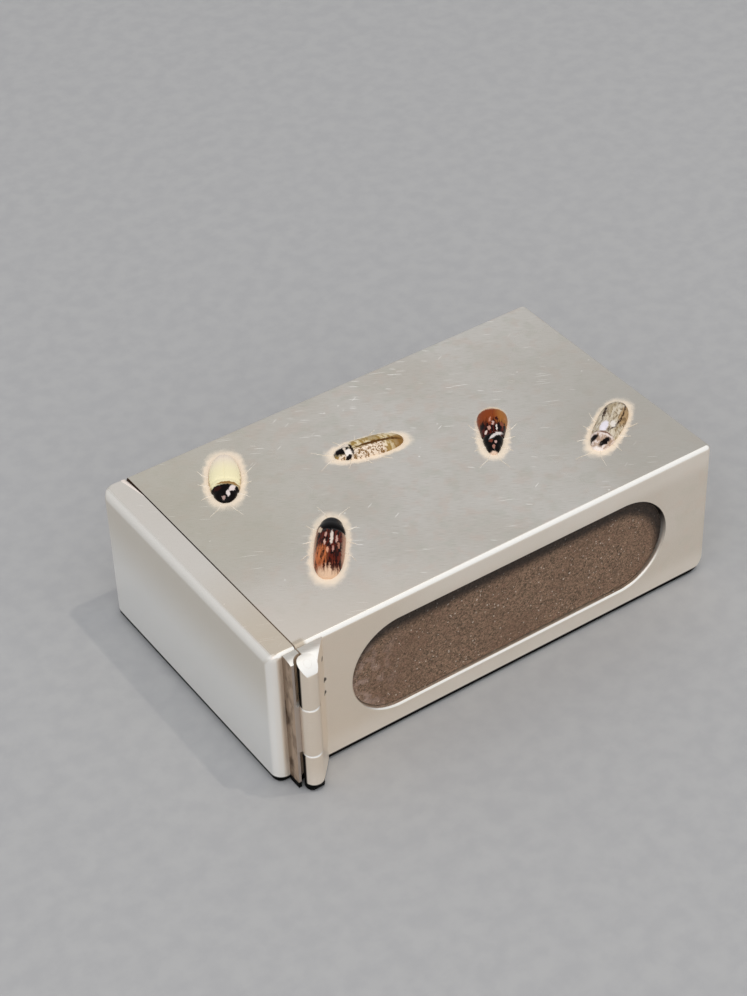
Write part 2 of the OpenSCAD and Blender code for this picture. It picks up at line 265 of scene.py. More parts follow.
class Shade:
    """A value that varies over a surface. Arithmetic on it adds Math nodes to its material."""

    def __init__(self, tree, output=None):
        self.tree = tree
        self.output = output

    def feed(self, node, inputs):
        """Sets or links a node's sockets."""
        for name, value in inputs.items():
            if isinstance(value, Shade):
                self.tree.links.new(value.output, node.inputs[name])
            else:
                node.inputs[name].default_value = value

    def node(self, kind, settings, inputs, output=0):
        """Any other node: its settings first, then its sockets."""
        node = self.tree.nodes.new(kind)
        for name, value in settings.items():
            setattr(node, name, value)
        self.feed(node, inputs)
        return Shade(self.tree, node.outputs[output])

    def maths(self, operation, first, second=0.0):
        """One Math node."""
        return self.node("ShaderNodeMath", {"operation": operation}, {0: first, 1: second})

    def __add__(self, other):
        return self.maths("ADD", self, other)

    def __sub__(self, other):
        return self.maths("SUBTRACT", self, other)

    def __rsub__(self, other):
        return self.maths("SUBTRACT", other, self)

    def __mul__(self, other):
        return self.maths("MULTIPLY", self, other)

    def __truediv__(self, other):
        return self.maths("DIVIDE", self, other)

    def __pow__(self, other):
        return self.maths("POWER", self, other)

    def __abs__(self):
        return self.maths("ABSOLUTE", self)

    __radd__ = __add__
    __rmul__ = __mul__

    def either(self, other):
        """The larger of two masks."""
        return self.maths("MAXIMUM", self, other)

    def rise(self, low, high):
        """0 below low and 1 above high, smooth between. With low above high it falls instead."""
        return self.node(
            "ShaderNodeMapRange", {"interpolation_type": "SMOOTHSTEP"},
            {"Value": self, "From Min": low, "From Max": high})

    def blend(self, start, end):
        """A colour between two others, by this value."""
        return self.node("ShaderNodeMix", {"data_type": "RGBA"}, {0: self, 6: start, 7: end}, 2)

    def grain(self, size, detail=2.0):
        """Noise of a given grain size on these coordinates."""
        return self.node("ShaderNodeTexNoise", {}, {"Vector": self, "Scale": 1 / size, "Detail": detail})

    def twin(self, output):
        """Another output of the node that gave this value."""
        return Shade(self.tree, self.output.node.outputs[output])

    def along(self, axis):
        """One coordinate of these coordinates."""
        return self.node("ShaderNodeSeparateXYZ", {}, {0: self}, axis)

    def size(self):
        """How far these coordinates lie from their origin."""
        return self.node("ShaderNodeVectorMath", {"operation": "LENGTH"}, {0: self}, "Value")

    def stirred(self, size, reach):
        """These coordinates pushed about a little, so that what is drawn on them has an uneven edge."""
        push = self.node("ShaderNodeTexNoise", {}, {"Vector": self, "Scale": 1 / size}, "Color")
        push = self.node("ShaderNodeVectorMath", {"operation": "SUBTRACT"}, {0: push, 1: (0.5, 0.5, 0.5)})
        push = self.node("ShaderNodeVectorMath", {"operation": "SCALE"}, {0: push, "Scale": reach})
        return self.node("ShaderNodeVectorMath", {"operation": "ADD"}, {0: self, 1: push})

    def drawn_out(self, turn, lengths, place=(0, 0, 0)):
        """These coordinates seen from a place, turned, and measured in lengths of their own."""
        return self.node(
            "ShaderNodeMapping", {"vector_type": "TEXTURE"},
            {"Vector": self, "Location": place, "Rotation": turn, "Scale": lengths})


def colour(code):
    """A colour as it is seen, in hexadecimal, turned into the linear values that shaders take."""
    parts = [int(code[i:i + 2], 16) / 255 for i in (1, 3, 5)]
    return (*(p / 12.92 if p < 0.04045 else ((p + 0.055) / 1.055) ** 2.4 for p in parts), 1)


def new_finish(name):
    """A material, its shader and the piece's own coordinates in millimetres."""
    material = bpy.data.materials.new(name)
    material.use_nodes = True
    tree = material.node_tree
    metres = Shade(tree).node("ShaderNodeTexCoord", {}, {}, "Object")
    place = metres.node("ShaderNodeVectorMath", {"operation": "SCALE"}, {0: metres, "Scale": 1 / MM})
    return material, tree.nodes["Principled BSDF"], place


def strokes(place, turn, half_l, half_w, share):
    """Short fine scratches on the level faces: one small oval in each cell of a lattice, most left out."""
    drawn = place.drawn_out((0, 0, math.radians(turn)), (half_l, half_w, 1))
    spread = 0.12
    away = place.node(
        "ShaderNodeTexVoronoi", {"voronoi_dimensions": "2D"}, {"Vector": drawn, "Scale": spread})
    choice = away.twin("Color")
    kept = choice.along("X").rise(1 - share, 1 - share * 0.9) * place.grain(7).rise(0.4, 0.55)
    return away.rise(spread * 1.15, spread * 0.7) * kept * choice.along("Y").rise(-0.2, 0.9)


def facing(place, axis="Z"):
    """How much a face looks along an axis: 1 along it, 0 across it and -1 against it."""
    return place.node("ShaderNodeNewGeometry", {}, {}, "Normal").along(axis)


def silver_finish(name, marks):
    """Old satin silver: pale clouds, a rubbed grain, bright scratches, then the marks that a piece bears.

    Each mark is a mask, its colour, and how metallic it leaves the surface."""
    material, shader, place = new_finish(name)
    clouds = place.grain(12, 2.0)
    tone = clouds.rise(0.3, 0.7).blend(colour("#f4efe6"), colour("#e8e1d5"))
    stains = place.grain(2.2, 4.0).twin("Color")
    tone = (stains.along("X").rise(0.5, 0.68) * 0.35).blend(tone, colour("#f0dccd"))
    tone = (stains.along("Y").rise(0.5, 0.68) * 0.35).blend(tone, colour("#dcdccd"))
    rubbed = place.drawn_out((0, 0, math.radians(-33)), (1.3, 0.05, 0.05)).grain(1)
    tone = (rubbed.rise(0.5, 0.8) * 0.6).blend(tone, colour("#fffaf2"))
    tone = (rubbed.rise(0.5, 0.25) * 0.55).blend(tone, colour("#cfc7ba"))
    scratches = strokes(place, -33, 0.7, 0.045, 0.13).either(strokes(place, -24, 1.2, 0.045, 0.09))
    scratches = scratches.either(strokes(place, -41, 0.45, 0.05, 0.08))
    scratches = scratches.either(strokes(place, 25, 0.5, 0.04, 0.03))
    scratches = scratches.either(strokes(place, 0, 0.13, 0.1, 0.02))
    scratches = scratches * facing(place).rise(0.8, 0.95)
    # the scratches are real, and painted near white and less metallic as their painted glint
    tone = scratches.blend(tone, colour("#fffcf6"))
    upright = abs(facing(place)).rise(0.5, 0.2)
    metal = 0.95 - scratches * 0.8 - upright * 0.25
    roughness = 0.27 + clouds * 0.08
    for mask, stain, sheen in marks(place):
        tone = mask.blend(tone, stain)
        metal = metal + mask * (sheen - metal)
        roughness = roughness + mask * (0.7 - sheen * 0.6 - roughness)
    height = rubbed * 0.002 + place.grain(6, 1.0) * 0.04 - scratches * 0.006
    bump = place.node("ShaderNodeBump", {}, {"Strength": 1.0, "Distance": MM, "Height": height})
    place.feed(shader, {"Base Color": tone, "Metallic": metal, "Roughness": roughness, "Normal": bump})
    shader.inputs["Specular IOR Level"].default_value = 0.1
    return material


def painted_foot_shadow(place, outside=1):
    """Painted shade: a black line round the foot, on the edge that turns under and just above it, for the
    contact shadow there.
    """
    height = place.along("Z")
    outer = facing(place).rise(0.4, 0.1) * outside
    return height.rise(0.92, 0.78) * height.rise(0.005, 0.03) * outer, colour("#020202"), 0.0


def painted_edge_highlight(place):
    """Painted highlight: the edges between the top and the hinged side painted white and less metallic,
    where they catch the light.
    """
    tilt = (facing(place) - facing(place, "Y")) * 0.707
    return tilt.rise(0.86, 0.95), colour("#fffdf8"), 0.25


def warm_front(place):
    """A faint yellow tone over the hinged side, deeper at the hinge, with lighter, less metallic bands
    painted low down and high up as painted light.
    """
    front = case_lo.y / MM
    side = place.along("Y").rise(front + 0.5, front + 0.1) * abs(facing(place)).rise(0.5, 0.25)
    deep = place.along("X").rise(5, -28) * 0.35 + 0.45
    # painted light: a lighter band high on the side towards the lid, and one below the window
    upper = place.along("Z").rise(15.6, 17.8) * place.along("X").rise(-18, -6)
    painted_light_bands = side * place.along("Z").rise(4.5, 1.5).either(upper)
    return [(side * deep, colour("#f8e7d2"), 0.66), (painted_light_bands * 0.5, colour("#fbf2e6"), 0.4)]


def seam_dirt(place):
    """Brown dirt in the saw cut between the lid and the sleeve, paler towards the hinge."""
    half_gap = (mouth_x - rim_x) / 2 / MM
    gap = abs(place.along("X") - seam_x / MM).rise(half_gap + 0.015, half_gap + 0.005)
    brown = place.along("Y").rise(-17, 4).blend(colour("#c4b29e"), colour("#4a3728"))
    return gap, brown, 0.2


def top_gradient(place):
    """The top is paler towards its hinged front corner, darker at the back towards the lid, and darker
    towards the closed end.
    """
    top = facing(place).rise(0.8, 0.95)
    along = (place.along("X") - case_lo.x / MM) / ((case_hi.x - case_lo.x) / MM)
    across = (place.along("Y") - case_lo.y / MM) / ((case_hi.y - case_lo.y) / MM)
    return [(top * (along + across).rise(0.6, 0.0), colour("#fff4e6"), 0.84),
            (top * along.rise(0.45, 0.1) * across.rise(0.25, 0.5) * 0.6, colour("#e4dcc8"), 0.95),
            (top * along.rise(0.6, 1.0) * across.rise(1.1, 0.3) * 0.7, colour("#d6d0c4"), 0.95)]


def dress(piece, material, body, slot, *nodes):
    """Gives a finished piece its material, and says which CAD body and nodes it stands for. The slot is not
    used.
    """
    alone(piece)
    piece.data.materials.clear()
    piece.data.materials.append(material)
    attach(piece, body)
    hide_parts(*nodes)


# where each enamelled insect lies on the top, in millimetres, and how far the pale rim round it reaches
insects = {
    "cream_beetle": {"place": (-18.75, 10.8), "heading": -120, "size": (8.9, 3.9, 1.4)},
    "red_beetle": {"place": (-15.8, -7.0), "heading": 53, "size": (10.5, 3.6, 1.4)},
    "slim_fly": {"place": (-1.75, 5.6), "heading": 167, "size": (8.9, 3.2, 1.2)},
    "dark_beetle": {"place": (11.75, -1.1), "heading": -125, "size": (8.2, 3.0, 1.33)},
    "pale_bug": {"place": (23.65, -8.4), "heading": -146, "size": (9.7, 3.4, 1.3)},
}
cream_rim_reach = 0.35


def cream_rim(place, insect):
    """A cream rim on the silver round one insect, fading out in wisps."""
    length, width, _ = insect["size"]
    near = place.stirred(0.7, 0.8).drawn_out(
        (0, 0, math.radians(insect["heading"])), (length / 2 + cream_rim_reach, width / 2 + cream_rim_reach, 1),
        (*insect["place"], 0))
    out = abs(near.along("X")) ** 2.6 + abs(near.along("Y")) ** 2.6
    on_top = place.along("Z").rise(case_hi.z / MM - 0.3, case_hi.z / MM - 0.1)
    return out.rise(1.85, 0.8) ** 1.2 * on_top, colour("#ffeed8"), 0.02


# pits that the solder left along the hinge, in millimetres
solder_pits = (-24.91, -18.9, 16.46), (-24.5, -18.5, 12.68), (-24.6, -18.5, 10.78)


def pit_dirt(place):
    """Dark dirt in and close round each solder pit."""
    reach = 0.34
    return [(place.drawn_out((0, 0, 0), (reach, reach, reach), pit).size().rise(1.2, 0.7) * 0.9,
             colour("#0c0705"), 0.1) for pit in solder_pits]


def hinge_solder(place):
    """Where the hinge was soldered on, the top edge of the case is dull and bears no painted highlight."""
    seam = seam_x / MM
    front = case_lo.y / MM
    beside = place.along("X").rise(seam + 1.65, seam + 1.05)
    beside = beside * place.along("Y").rise(front + 1.2, front + 0.8)
    return beside * facing(place).rise(0.1, 0.3), colour("#c9bdac"), 0.4


def window_rim_shade(place):
    """Painted shade: black on the window's edge where it looks down or towards the lid, where the shade
    falls.
    """
    down = facing(place).rise(-0.2, -0.4)
    to_lid = facing(place, "X").rise(-0.2, -0.4) * place.along("Z").rise(5, 13)
    centre = (window_lo + window_hi) / 2 / MM
    half = (window_hi - window_lo) / 2 / MM
    window = abs(place.along("X") - centre.x).rise(half.x + 0.5, half.x + 0.4)
    window = window * abs(place.along("Z") - centre.z).rise(half.z + 0.5, half.z + 0.4)
    inner_face = (case_lo.y + sheet) / MM
    window = window * place.along("Y").rise(inner_face - 0.01, inner_face - 0.05)
    return down.either(to_lid) * window, colour("#140d0a"), 0.1


def case_marks(place):
    """All that the sleeve and the end plate bear: broad tones, painted highlights and painted shade, and the
    small marks over them.
    """
    return [*top_gradient(place), *warm_front(place), painted_edge_highlight(place), hinge_solder(place),
            painted_foot_shadow(place), window_rim_shade(place), seam_dirt(place), *pit_dirt(place),
            *(cream_rim(place, insect) for insect in insects.values())]


def lid_marks(place):
    """As on the case, with a paler top, an end painted lighter below and darker above as painted light and
    shade, and painted highlights on its near upright corner, outer top edge and nick.
    """
    rubbed_top = facing(place).rise(0.8, 0.95) * 0.8
    rubbed = place.along("Y").rise(0, -16).blend(colour("#fff8ee"), colour("#f2e2cb"))
    end = facing(place, "X").rise(-0.5, -0.8)
    outside = facing(place, "X").rise(0.8, 0.5)
    # painted light and shade: the outer end lighter low down and darker towards the top
    painted_end_gradient = place.along("Z").rise(7, 17).blend(colour("#fefdf9"), colour("#e8e1d4"))
    # painted highlight: the lid's near upright corner painted pale
    corner = ((facing(place, "X") + facing(place, "Y")) * -0.707).rise(0.82, 0.92)
    # painted highlight: a pale line on the outer part of the end's rounded top edge
    painted_top_edge_highlight = ((facing(place) - facing(place, "X") * 1.4) * 0.58).rise(0.84, 0.97)
    # painted highlight: a pale line along the nick's upper edge
    out = place.node(
        "ShaderNodeVectorMath", {"operation": "DOT_PRODUCT"}, {0: place, 1: nick_slope}, "Value")
    nick = abs(out - nick_start.dot(nick_slope) / MM).rise(0.03, 0.015)
    painted_nick_highlight = nick * place.along("Z").rise(case_hi.z / MM - 0.45, case_hi.z / MM - 0.2)
    return [(rubbed_top, rubbed, 0.82), (end * 0.9, painted_end_gradient, 0.66), *warm_front(place),
            (corner * 0.8, colour("#fbf8f2"), 0.35), (painted_top_edge_highlight * 0.7, colour("#fbf8f2"), 0.45),
            painted_edge_highlight(place), painted_foot_shadow(place, outside), seam_dirt(place),
            (painted_nick_highlight, colour("#fff3ea"), 0.2)]


case_silver = silver_finish("case_silver", case_marks)
lid_silver = silver_finish("lid_silver", lid_marks)
dress(sleeve, case_silver, "case", "silver", "case_sleeve")
dress(end_plate, case_silver, "case", "silver", "case_end")
dress(lid, lid_silver, "lid", "silver", "lid_cap")

# The mouth bezel: a thin silver frame soldered inside the sleeve, which stands out of its mouth so that
# the lid closes over it. Its free edge is eased to let the lid slide on.
bezel_t = 0.4 * MM
bezel_r = 0.3 * MM
bezel_ease = 0.12 * MM
bezel_lo, bezel_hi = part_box("mouth_bezel")
bezel = block("silver_mouth_bezel", bezel_lo, bezel_hi)
soften(bezel, bezel_r, lambda edge: abs(edge.verts[0].co.x - edge.verts[1].co.x) > NEAR, 5)
pick(bezel, "FACE", lambda face: abs(face.normal.x) > 0.5)
bpy.ops.mesh.delete(type="ONLY_FACE")
bezel_size = bezel_hi - bezel_lo
line_with_wall(bezel, bezel_lo.x, bezel_hi.x, bezel_size, bezel_t)
pick(bezel, "EDGE", lambda edge: edge.is_boundary)
bpy.ops.mesh.bridge_edge_loops()
soften(bezel, bezel_ease, lambda edge: flat_on(0, bezel_lo.x)(edge) and edge.calc_face_angle() > 1)
polish(bezel)
dress(bezel, lid_silver, "case", "silver", "mouth_bezel")

# The hinge: three tube knuckles on a pin, the bearer that carries the outer two on the case and the leaf
# that carries the middle one on the lid. All are silver, soldered on and then filed round together.
barrel_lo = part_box("lower_knuckle")[0]
barrel_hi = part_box("upper_knuckle")[1]
axis_x = (barrel_lo.x + barrel_hi.x) / 2
barrel_r = (barrel_hi.x - barrel_lo.x) / 2
axis_y = barrel_lo.y + barrel_r
pin_lo, pin_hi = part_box("hinge_pin")
pin_r = (pin_hi.x - pin_lo.x) / 2
bore_r = pin_r + 0.01 * MM
barrel_top_r = 2.5 * MM
barrel_foot_r = 0.5 * MM
knuckle_foot_r = 0.1 * MM
knuckle_head_r = 0.3 * MM
tube_sides = 48
leaf_lo, leaf_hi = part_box("lid_leaf")
lid_joint_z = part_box("lower_knuckle")[1].z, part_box("upper_knuckle")[0].z

filing_block = block("filing_block", Vector((case_lo.x, barrel_lo.y, barrel_lo.z)),
                     Vector((mouth_x + 5 * MM, case_lo.y, barrel_hi.z)))
for corner_z, corner_r in ((barrel_hi.z, barrel_top_r), (barrel_lo.z, barrel_foot_r)):
    soften(filing_block, corner_r, lambda edge: flat_on(1, barrel_lo.y)(edge)
           and flat_on(2, corner_z)(edge), 14)


def rod(name, radius, z0, z1):
    """An upright rod on the pin's axis."""
    clear_bench()
    bpy.ops.mesh.primitive_cylinder_add(
        vertices=tube_sides, radius=radius, depth=z1 - z0, location=(axis_x, axis_y, (z0 + z1) / 2))
    return settle(bpy.context.object, name)


def knuckle(name, node, body):
    """A tube on the pin: a rod bored through, filed with its neighbours and rounded at its joints."""
    z0, z1 = (corner.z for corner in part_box(node))
    tube = rod(name, barrel_r, z0, z1)
    pick(tube, "FACE", lambda face: abs(face.normal.z) > 0.5)
    bpy.ops.mesh.inset(thickness=barrel_r - bore_r, use_individual=True)
    bpy.ops.mesh.bridge_edge_loops()
    carve(tube, copy_of(filing_block, "file"), "INTERSECT")
    for z, joint_r in ((z0, knuckle_foot_r), (z1, knuckle_head_r)):
        if barrel_lo.z + NEAR < z < barrel_hi.z - NEAR:
            soften(tube, joint_r, lambda edge: flat_on(2, z)(edge) and edge.calc_face_angle() > 1
                   and (edge.verts[0].co.xy - Vector((axis_x, axis_y))).length > bore_r * 1.5, 5)
    polish(tube)
    dress(tube, hinge_silver, body, "silver", node)


def hinge_marks(place):
    """Yellowed like the side, with painted highlights on the filed top and the edge, brown on the leaf's
    sheltered face with painted shade towards its inner corner, and black painted shade behind the knuckles
    and at the foot."""
    sheltered = place.along("X").rise(leaf_lo.x / MM + 0.1, leaf_lo.x / MM + 0.02)
    mottle = place.drawn_out((0, 0, 0), (1, 1, 2.4)).grain(1, 3.0).rise(0.45, 0.65)
    # painted shade: the brown deepens towards the inner corner by the wall
    inner = place.along("Y").rise(leaf_hi.y / MM - 1.1, leaf_hi.y / MM - 0.5)
    brown = (mottle * 0.5 + inner * 0.5).blend(colour("#b9a28c"), colour("#4a3628"))
    joint_z = (lid_joint_z[0] + lid_joint_z[1]) / 2 / MM
    half_joint = (lid_joint_z[1] - lid_joint_z[0]) / 2 / MM
    past_joint = abs(place.along("Z") - joint_z).rise(half_joint, half_joint + 0.2)
    pin_x = axis_x / MM
    tube_r = barrel_r / MM
    from_pin = place.drawn_out((0, 0, 0), (1, 1, 1000), (pin_x, axis_y / MM, 0)).size()
    # painted shade: black on the sides of the knuckles seen through the slots
    behind = abs(from_pin - tube_r).rise(0.06, 0.03) * facing(place, "Y").rise(-0.3, -0.1)
    behind = behind * facing(place, "X").rise(-0.6, -0.8)
    front = case_lo.y / MM
    # painted highlight: the filed top of the hinge painted near white
    filed_top_highlight = facing(place).rise(0.5, 0.8) * place.along("Y").rise(front - 0.6, front - 1.4)
    strip_x = pin_x - tube_r * 0.85
    strip = place.along("X").rise(strip_x, strip_x - 0.1) * facing(place, "Y").rise(-0.6, -0.9)
    # painted shade: black round the foot of the hinge, for the shadow under the barrel
    low = place.along("Z").rise(1.1, 0.96)
    bearer_side = from_pin.rise(tube_r + 0.03, tube_r + 0.08)
    bearer_side = bearer_side * place.along("X").rise(pin_x - 0.2, pin_x + 0.2)
    return [*warm_front(place), (strip, colour("#b5a89d"), 0.4), (sheltered, brown, 0.4),
            (behind * past_joint, colour("#0a0605"), 0.1), (filed_top_highlight * 0.8, colour("#fdfaf4"), 0.35),
            painted_edge_highlight(place), (low * (1 - bearer_side), colour("#020202"), 0.0), *pit_dirt(place)]


hinge_silver = silver_finish("hinge_silver", hinge_marks)
knuckle("silver_upper_knuckle", "upper_knuckle", "case")
knuckle("silver_lower_knuckle", "lower_knuckle", "case")
knuckle("silver_lid_knuckle", "lid_knuckle", "lid")

pin = rod("silver_hinge_pin", pin_r, barrel_lo.z, barrel_hi.z)
carve(pin, copy_of(filing_block, "file"), "INTERSECT")
polish(pin)
dress(pin, hinge_silver, "case", "silver", "hinge_pin")

# the room that the bearer and the leaf leave round the knuckles that turn past them
knuckle_clear = 0.2 * MM
slot_gap = 0.35 * MM

# the slope of the bearer, its solder pits, and how far the sharp edges of both pieces are eased
bearer_angle = math.radians(15)
pit_r = 0.2 * MM
hinge_ease = 0.05 * MM
sharp = 0.6

bearer_lo, bearer_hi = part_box("hinge_bearer")
bearer = block("silver_hinge_bearer", bearer_lo, bearer_hi)
pick(bearer, "VERT", lambda corner: corner.co.y < bearer_lo.y + NEAR and corner.co.x > bearer_lo.x + NEAR)
bpy.ops.transform.translate(value=(axis_x + barrel_r * math.cos(bearer_angle) - bearer_hi.x, 0, 0))
pick(bearer, "VERT", lambda corner: corner.co.y < bearer_lo.y + NEAR and corner.co.x < bearer_lo.x + NEAR)
bpy.ops.transform.translate(value=(0, axis_y - bearer_lo.y, 0))
carve(bearer, copy_of(filing_block, "file"), "INTERSECT")
carve(bearer, rod("knuckle_room", barrel_r, barrel_lo.z - MM, barrel_hi.z + MM))
carve(bearer, rod("knuckle_room", barrel_r + knuckle_clear, *lid_joint_z))
soften(bearer, hinge_ease, lambda edge: edge.calc_face_angle() > sharp, 2)
for pit in solder_pits:
    clear_bench()
    bpy.ops.mesh.primitive_uv_sphere_add(segments=16, ring_count=8, radius=pit_r, location=Vector(pit) * MM)
    carve(bearer, settle(bpy.context.object, "pit"))
polish(bearer)
dress(bearer, hinge_silver, "case", "silver", "hinge_bearer")

leaf = block("silver_lid_leaf", leaf_lo, leaf_hi)
carve(leaf, copy_of(filing_block, "file"), "INTERSECT")
carve(leaf, rod("knuckle_room", barrel_r, barrel_lo.z - MM, barrel_hi.z + MM))
carve(leaf, rod("knuckle_room", barrel_r + slot_gap, barrel_lo.z - MM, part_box("lid_knuckle")[0].z))
carve(leaf, rod("knuckle_room", barrel_r + slot_gap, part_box("lid_knuckle")[1].z, barrel_hi.z + MM))
soften(leaf, hinge_ease, lambda edge: edge.calc_face_angle() > sharp, 2)
polish(leaf)
dress(leaf, hinge_silver, "lid", "silver", "lid_leaf")
clear_bench()
bpy.data.objects.remove(filing_block)

# The striker: a board lining behind the window, with a face of crushed grit in brown glue that shows through
# the opening and strikes the matches. The board is plain pasteboard, cut to fit the inside.
grit_cell = 0.2 * MM
grit_spare = 1.02
grit_rise = 0.16 * MM
# in the material's millimetres: a grain, and how far the grit left clear of the painted shadow under the rim
# lies down and towards the lid
grain_size = 0.16
shadow_drop = 1.6
shadow_slip = 0.6
grit_size = grit_hi - grit_lo
clear_bench()
bpy.ops.mesh.primitive_grid_add(
    x_subdivisions=round(grit_size.x / grit_cell), y_subdivisions=round(grit_size.z / grit_cell), size=1,
    location=((grit_lo.x + grit_hi.x) / 2, grit_lo.y, (grit_lo.z + grit_hi.z) / 2),
    rotation=(math.pi / 2, 0, 0))
grit = bpy.context.object
grit.scale = (grit_size.x * grit_spare, grit_size.z * grit_spare, 1)
settle(grit, "striker_grit_face")
grit_lumps = bpy.data.textures.new("grit_lumps", "CLOUDS")
grit_lumps.noise_scale = 0.45 * MM
grit_lumps.noise_depth = 2
modify(grit, "DISPLACE", texture=grit_lumps, texture_coords="LOCAL", strength=grit_rise, mid_level=1.0)
pick(grit, "FACE", lambda face: True)
bpy.ops.mesh.extrude_region_move(TRANSFORM_OT_translate={"value": (0, grit_size.y * 2, 0)})
carve(grit, round_ended_bar("grit_outline", grit_lo, grit_hi), "INTERSECT")
polish(grit, 60)


def grit_finish():
    """Brown-grey grit, grain by grain, with pale painted glints, scuffed pink at one end, and with a black
    painted shadow under the upper rim.
    """
    material, shader, place = new_finish("striker_grit_brown")
    grains = place.node("ShaderNodeTexVoronoi", {}, {"Vector": place, "Scale": 1 / grain_size}, "Color")
    pick_grain = grains.along("X")
    tone = pick_grain.blend(colour("#50402f"), colour("#a6866d"))
    tone = (place.grain(5, 3.0).rise(0.4, 0.7) * 0.4).blend(tone, colour("#775945"))
    tone = (grains.along("Y").rise(0.9, 0.93) * 0.6).blend(tone, colour("#8f6a58"))
    lid_side = grit_lo.x / MM
    scuffs = place.grain(1.4, 3.0).rise(0.45, 0.7) * place.along("X").rise(lid_side + 8, lid_side)
    tone = (scuffs * 0.8).blend(tone, colour("#bfa396"))
    # painted glints: a few grains painted pale for the light they catch, and made smoother
    painted_glints = grains.along("Z").rise(0.988, 0.993)
    tone = painted_glints.blend(tone, colour("#cdbcab"))
    # painted shadow: black under the upper rim and at the end away from the lid, where the rim shades the
    # recessed grit
    half_h = (grit_hi.z - grit_lo.z) / 2 / MM
    straight = (grit_hi.x - grit_lo.x) / 2 / MM - half_h
    centre = (grit_lo + grit_hi) / 2 / MM
    past_straight = (abs(place.along("X") - centre.x + shadow_slip) - straight).either(0.0)
    below = place.along("Z") - centre.z + shadow_drop
    inside = half_h - (past_straight * past_straight + below * below) ** 0.5
    painted_rim_shadow = inside.rise(1.1, -0.5)
    tone = (painted_rim_shadow * 0.86).blend(tone, colour("#0d0907"))
    height = place.grain(0.12, 2.0) * 0.06 + pick_grain * 0.03
    bump = place.node("ShaderNodeBump", {}, {"Strength": 1.0, "Distance": MM, "Height": height})
    place.feed(shader, {"Base Color": tone, "Roughness": 0.8 - painted_glints * 0.4, "Normal": bump})
    return material


def pasteboard_finish():
    """Grey-brown board with short fibres."""
    material, shader, place = new_finish("striker_pasteboard")
    fibres = place.drawn_out((0, 0.4, 0), (1.2, 0.2, 0.12)).grain(1, 3.0)
    tone = fibres.rise(0.3, 0.7).blend(colour("#6f6052"), colour("#8b7a68"))
    bump = place.node("ShaderNodeBump", {}, {"Strength": 0.6, "Distance": MM, "Height": fibres * 0.03})
    place.feed(shader, {"Base Color": tone, "Roughness": 0.85 + fibres * 0.1, "Normal": bump})
    return material


dress(grit, grit_finish(), "case", "striker_grit", "striker_grit")
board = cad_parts["striker_board"]
board.data.materials.clear()
board.data.materials.append(pasteboard_finish())

# The enamelled insects: five domed bodies of fired enamel on the top, each with wing cases parted down the
# back, a shield and a head with two eyes, and with legs and feelers of fine silver wire laid on the case.
outlines = {
    "cream_beetle": {"neck": 0.3, "blunt": 2.0, "taper": 0.0},
    "red_beetle": {"neck": 0.42, "blunt": 3.0, "taper": -0.02},
    "slim_fly": {"neck": 0.5, "blunt": 2.6, "taper": 0.02},
    "dark_beetle": {"neck": 0.28, "blunt": 5.0, "taper": 0.5},
    "pale_bug": {"neck": 0.42, "blunt": 3.0, "taper": 0.12},
}
tip = 0.985
ring_step = 0.045
ring_sides = 40
seam_w = 0.09 * MM
seam_depth = 0.05 * MM
notch_depth = 0.07
notch_w = 0.045


def girth(outline, u):
    """Breadth of a body along its length, from -1 at the tail to 1 at the head, less at its two joints."""
    joints = outline["neck"], outline["neck"] + (1 - outline["neck"]) * 0.5
    notches = sum(math.exp(-((u - joint) / notch_w) ** 2) for joint in joints)
    plain = math.sqrt(1 - abs(u) ** outline["blunt"]) * (1 - outline["taper"] * u)
    return plain * (1 - notch_depth * notches)


def dome(name, size, outline, u0, u1):
    """A stretch of one body: a ring drawn along it, swelled and narrowed, then halved at the base."""
    length, width, height = size
    count = math.ceil((u1 - u0) / ring_step)
    stops = [u0 + (u1 - u0) * (1 - math.cos(math.pi * i / count)) / 2 for i in range(count + 1)]
    clear_bench()
    bpy.ops.mesh.primitive_circle_add(
        vertices=ring_sides, radius=1, fill_type="NGON", location=(stops[0] * length / 2, 0, 0),
        rotation=(0, math.pi / 2, 0))
    body = bpy.context.object
    start = girth(outline, stops[0])
    body.scale = (height * start, width / 2 * start, 1)
    settle(body, name)
    pick(body, "FACE", lambda face: True)
    for last, stop in zip(stops, stops[1:]):
        grow = girth(outline, stop) / girth(outline, last)
        step = (stop - last) * length / 2
        bpy.ops.mesh.extrude_region_move(TRANSFORM_OT_translate={"value": (step, 0, 0)})
        bpy.ops.transform.resize(value=(1, grow, grow), center_override=(stop * length / 2, 0, 0))
    bpy.ops.mesh.select_all(action="SELECT")
    bpy.ops.mesh.bisect(plane_co=(0, 0, 0), plane_no=(0, 0, 1), clear_inner=True, use_fill=True,
                        threshold=NEAR / 10)
    return body


def part_wings(body, height):
    """Presses the line down the back where two wing cases meet."""
    pick(body, "EDGE", lambda edge: all(abs(end.co.y) < NEAR and end.co.z > NEAR for end in edge.verts)
         and abs(edge.verts[0].co.x - edge.verts[1].co.x) > NEAR)
    bpy.ops.mesh.bevel(offset=seam_w, segments=2, profile=0.5, affect="EDGES")
    pick(body, "VERT", lambda corner: abs(corner.co.y) < NEAR and corner.co.z > height * 0.2)
    bpy.ops.transform.translate(value=(0, 0, -seam_depth))


def set_down(piece, insect, name):
    """Turns a piece to its insect's heading and lays it on the top of the case."""
    x, y = insect["place"]
    alone(piece)
    piece.location = (x * MM, y * MM, case_hi.z)
    piece.rotation_euler = (0, 0, math.radians(insect["heading"]))
    return settle(piece, name)


